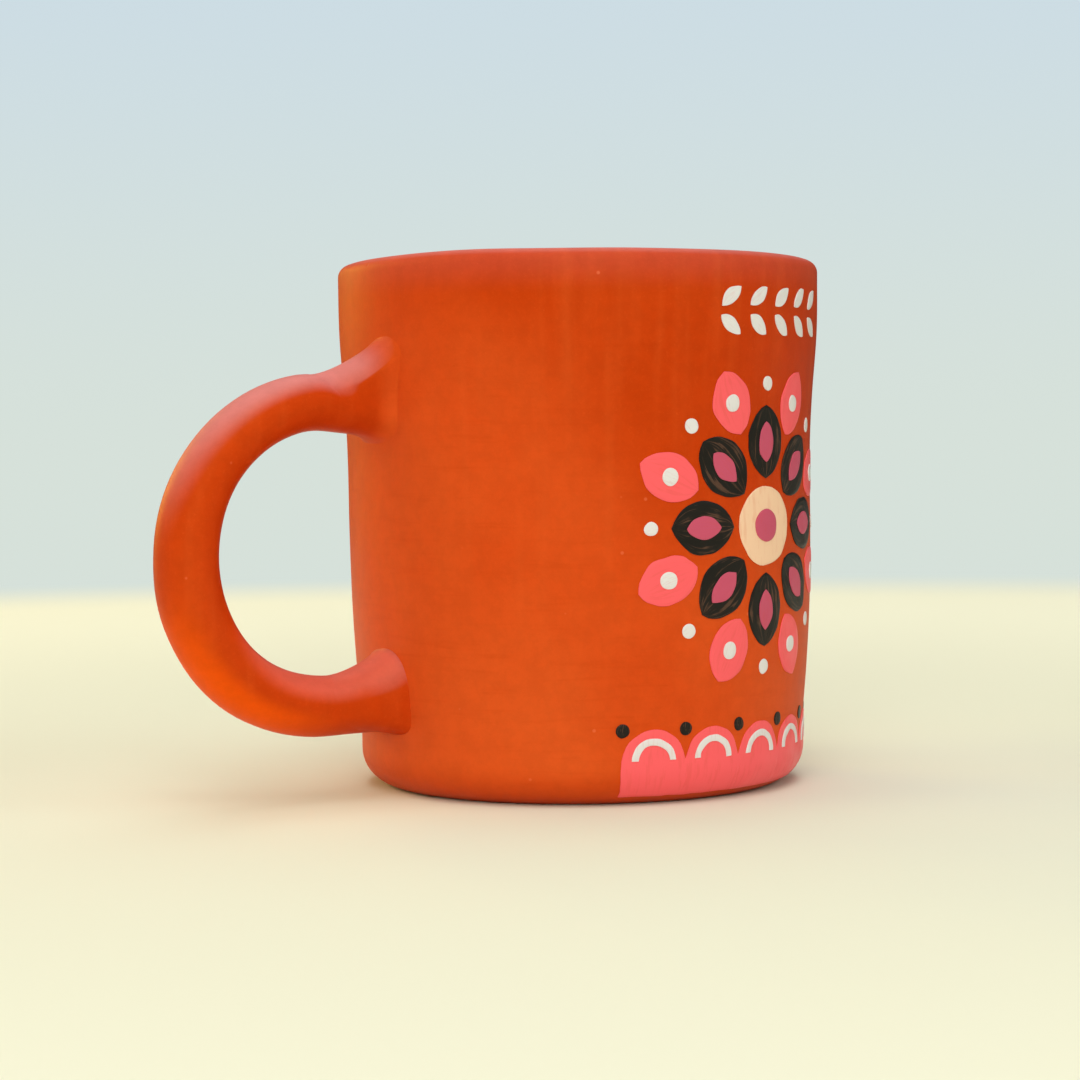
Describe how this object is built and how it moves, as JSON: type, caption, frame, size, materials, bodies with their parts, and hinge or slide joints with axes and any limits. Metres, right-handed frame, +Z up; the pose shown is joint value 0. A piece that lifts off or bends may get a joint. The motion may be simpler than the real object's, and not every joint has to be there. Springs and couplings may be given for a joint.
{
  "type": "clay mug",
  "caption": "Straight-sided terracotta clay mug with a round loop handle luted on with slip, and a painted petal medallion, scalloped hem and leaf sprig on one side.",
  "frame": {"origin": "on the cup's axis, on the plane that the foot rests on", "axes": "+Z up along the cup's axis; the handle points along -X; the painted flower faces -Y, turned 18 degrees towards +X"},
  "size_m": [0.1198, 0.0822, 0.089],
  "materials": {
    "clay": "matte burnished terracotta",
    "slip": "matte smoothed slip",
    "black_paint": "satin brushed paint",
    "peach_paint": "satin brushed paint",
    "pink_paint": "satin brushed paint",
    "rose_paint": "satin brushed paint",
    "white_paint": "satin brushed paint"
  },
  "bodies": {
    "root": {"cup_body": "clay", "handle": "clay", "upper_slip_joint": "slip", "lower_slip_joint": "slip", "peach_core": "peach_paint", "rose_spot": "rose_paint", "black_petals": "black_paint", "rose_inlays": "rose_paint", "pink_petals": "pink_paint", "white_eyes": "white_paint", "white_dots": "white_paint", "pink_hem": "pink_paint", "hem_lines": "white_paint", "hem_dots": "black_paint", "white_sprig": "white_paint"}
  },
  "joints": []
}
